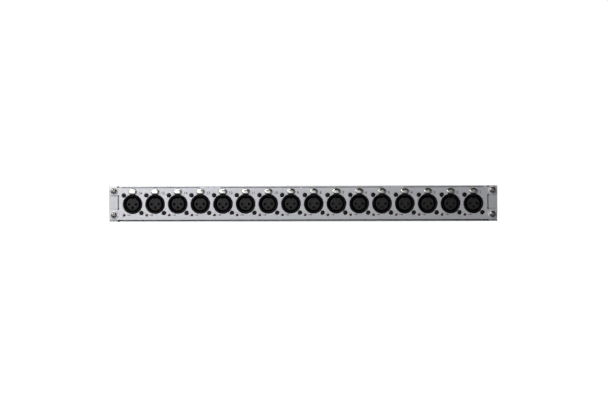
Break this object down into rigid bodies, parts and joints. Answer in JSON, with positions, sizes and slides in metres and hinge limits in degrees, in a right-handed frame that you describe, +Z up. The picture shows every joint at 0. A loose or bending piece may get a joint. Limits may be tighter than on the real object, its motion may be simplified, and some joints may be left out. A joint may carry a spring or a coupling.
{
  "type": "audio patch bay",
  "caption": "Rack-width audio patch bay: silver panel with a row of three-pole female sockets, each with a sprung latch tab, indicator and screws, on a shallow sheet tray.",
  "frame": {"origin": "centre of the bounding box in plan, on the plane of the tray floor's underside", "axes": "+X to the right seen from the front, +Y from the front panel to the rear wall, +Z up"},
  "size_m": [0.4826, 0.1052, 0.0444],
  "materials": {
    "panel_satin_silver": "satin anodised",
    "sheet_metal": "satin",
    "board_green": "solder mask",
    "indicator_red": "clear, unlit",
    "plated_connector": "nickel plated",
    "screw_bright": "bright",
    "shell_black": "satin",
    "insert_black": "matt",
    "latch_bright": "polished nickel"
  },
  "bodies": {
    "chassis": {"front_panel": "panel_satin_silver", "chassis_tray": "sheet_metal", "top_cover": "sheet_metal", "main_board": "board_green", "indicator_light_pipe_9_16": "indicator_red", "indicator_light_pipe_1_8": "indicator_red", "multipin_connector_1_8": "plated_connector", "multipin_connector_9_16": "plated_connector", "rack_screw_lower_left": "screw_bright", "rack_screw_lower_right": "screw_bright", "rack_screw_upper_left": "screw_bright", "rack_screw_upper_right": "screw_bright", "socket_16_shell": "shell_black", "socket_16_insert": "insert_black", "socket_15_shell": "shell_black", "socket_15_insert": "insert_black", "socket_14_shell": "shell_black", "socket_14_insert": "insert_black", "socket_13_shell": "shell_black", "socket_13_insert": "insert_black", "socket_12_shell": "shell_black", "socket_12_insert": "insert_black", "socket_11_shell": "shell_black", "socket_11_insert": "insert_black", "socket_10_shell": "shell_black", "socket_10_insert": "insert_black", "socket_09_shell": "shell_black", "socket_09_insert": "insert_black", "socket_08_shell": "shell_black", "socket_08_insert": "insert_black", "socket_07_shell": "shell_black", "socket_07_insert": "insert_black", "socket_06_shell": "shell_black", "socket_06_insert": "insert_black", "socket_05_shell": "shell_black", "socket_05_insert": "insert_black", "socket_04_shell": "shell_black", "socket_04_insert": "insert_black", "socket_03_shell": "shell_black", "socket_03_insert": "insert_black", "socket_02_shell": "shell_black", "socket_02_insert": "insert_black", "socket_01_shell": "shell_black", "socket_01_insert": "insert_black"},
    "latch_16": {"socket_16_latch": "latch_bright"},
    "latch_15": {"socket_15_latch": "latch_bright"},
    "latch_14": {"socket_14_latch": "latch_bright"},
    "latch_13": {"socket_13_latch": "latch_bright"},
    "latch_12": {"socket_12_latch": "latch_bright"},
    "latch_11": {"socket_11_latch": "latch_bright"},
    "latch_10": {"socket_10_latch": "latch_bright"},
    "latch_09": {"socket_09_latch": "latch_bright"},
    "latch_08": {"socket_08_latch": "latch_bright"},
    "latch_07": {"socket_07_latch": "latch_bright"},
    "latch_06": {"socket_06_latch": "latch_bright"},
    "latch_05": {"socket_05_latch": "latch_bright"},
    "latch_04": {"socket_04_latch": "latch_bright"},
    "latch_03": {"socket_03_latch": "latch_bright"},
    "latch_02": {"socket_02_latch": "latch_bright"},
    "latch_01": {"socket_01_latch": "latch_bright"}
  },
  "joints": [
    {"name": "latch_16_pivot", "type": "hinge", "parent": "chassis", "child": "latch_16", "pos_m": [-0.21188, -0.0434, 0.0361], "axis": [1, 0, 0], "range_deg": [0, 8], "stiffness_Nm_per_rad": 0.05, "springref_deg": -5.73},
    {"name": "latch_15_pivot", "type": "hinge", "parent": "chassis", "child": "latch_15", "pos_m": [-0.18363, -0.0434, 0.0361], "axis": [1, 0, 0], "range_deg": [0, 8], "stiffness_Nm_per_rad": 0.05, "springref_deg": -5.73},
    {"name": "latch_14_pivot", "type": "hinge", "parent": "chassis", "child": "latch_14", "pos_m": [-0.15538, -0.0434, 0.0361], "axis": [1, 0, 0], "range_deg": [0, 8], "stiffness_Nm_per_rad": 0.05, "springref_deg": -5.73},
    {"name": "latch_13_pivot", "type": "hinge", "parent": "chassis", "child": "latch_13", "pos_m": [-0.12712, -0.0434, 0.0361], "axis": [1, 0, 0], "range_deg": [0, 8], "stiffness_Nm_per_rad": 0.05, "springref_deg": -5.73},
    {"name": "latch_12_pivot", "type": "hinge", "parent": "chassis", "child": "latch_12", "pos_m": [-0.09888, -0.0434, 0.0361], "axis": [1, 0, 0], "range_deg": [0, 8], "stiffness_Nm_per_rad": 0.05, "springref_deg": -5.73},
    {"name": "latch_11_pivot", "type": "hinge", "parent": "chassis", "child": "latch_11", "pos_m": [-0.07062, -0.0434, 0.0361], "axis": [1, 0, 0], "range_deg": [0, 8], "stiffness_Nm_per_rad": 0.05, "springref_deg": -5.73},
    {"name": "latch_10_pivot", "type": "hinge", "parent": "chassis", "child": "latch_10", "pos_m": [-0.04238, -0.0434, 0.0361], "axis": [1, 0, 0], "range_deg": [0, 8], "stiffness_Nm_per_rad": 0.05, "springref_deg": -5.73},
    {"name": "latch_09_pivot", "type": "hinge", "parent": "chassis", "child": "latch_09", "pos_m": [-0.01413, -0.0434, 0.0361], "axis": [1, 0, 0], "range_deg": [0, 8], "stiffness_Nm_per_rad": 0.05, "springref_deg": -5.73},
    {"name": "latch_08_pivot", "type": "hinge", "parent": "chassis", "child": "latch_08", "pos_m": [0.01413, -0.0434, 0.0361], "axis": [1, 0, 0], "range_deg": [0, 8], "stiffness_Nm_per_rad": 0.05, "springref_deg": -5.73},
    {"name": "latch_07_pivot", "type": "hinge", "parent": "chassis", "child": "latch_07", "pos_m": [0.04238, -0.0434, 0.0361], "axis": [1, 0, 0], "range_deg": [0, 8], "stiffness_Nm_per_rad": 0.05, "springref_deg": -5.73},
    {"name": "latch_06_pivot", "type": "hinge", "parent": "chassis", "child": "latch_06", "pos_m": [0.07062, -0.0434, 0.0361], "axis": [1, 0, 0], "range_deg": [0, 8], "stiffness_Nm_per_rad": 0.05, "springref_deg": -5.73},
    {"name": "latch_05_pivot", "type": "hinge", "parent": "chassis", "child": "latch_05", "pos_m": [0.09888, -0.0434, 0.0361], "axis": [1, 0, 0], "range_deg": [0, 8], "stiffness_Nm_per_rad": 0.05, "springref_deg": -5.73},
    {"name": "latch_04_pivot", "type": "hinge", "parent": "chassis", "child": "latch_04", "pos_m": [0.12712, -0.0434, 0.0361], "axis": [1, 0, 0], "range_deg": [0, 8], "stiffness_Nm_per_rad": 0.05, "springref_deg": -5.73},
    {"name": "latch_03_pivot", "type": "hinge", "parent": "chassis", "child": "latch_03", "pos_m": [0.15538, -0.0434, 0.0361], "axis": [1, 0, 0], "range_deg": [0, 8], "stiffness_Nm_per_rad": 0.05, "springref_deg": -5.73},
    {"name": "latch_02_pivot", "type": "hinge", "parent": "chassis", "child": "latch_02", "pos_m": [0.18363, -0.0434, 0.0361], "axis": [1, 0, 0], "range_deg": [0, 8], "stiffness_Nm_per_rad": 0.05, "springref_deg": -5.73},
    {"name": "latch_01_pivot", "type": "hinge", "parent": "chassis", "child": "latch_01", "pos_m": [0.21188, -0.0434, 0.0361], "axis": [1, 0, 0], "range_deg": [0, 8], "stiffness_Nm_per_rad": 0.05, "springref_deg": -5.73}
  ]
}
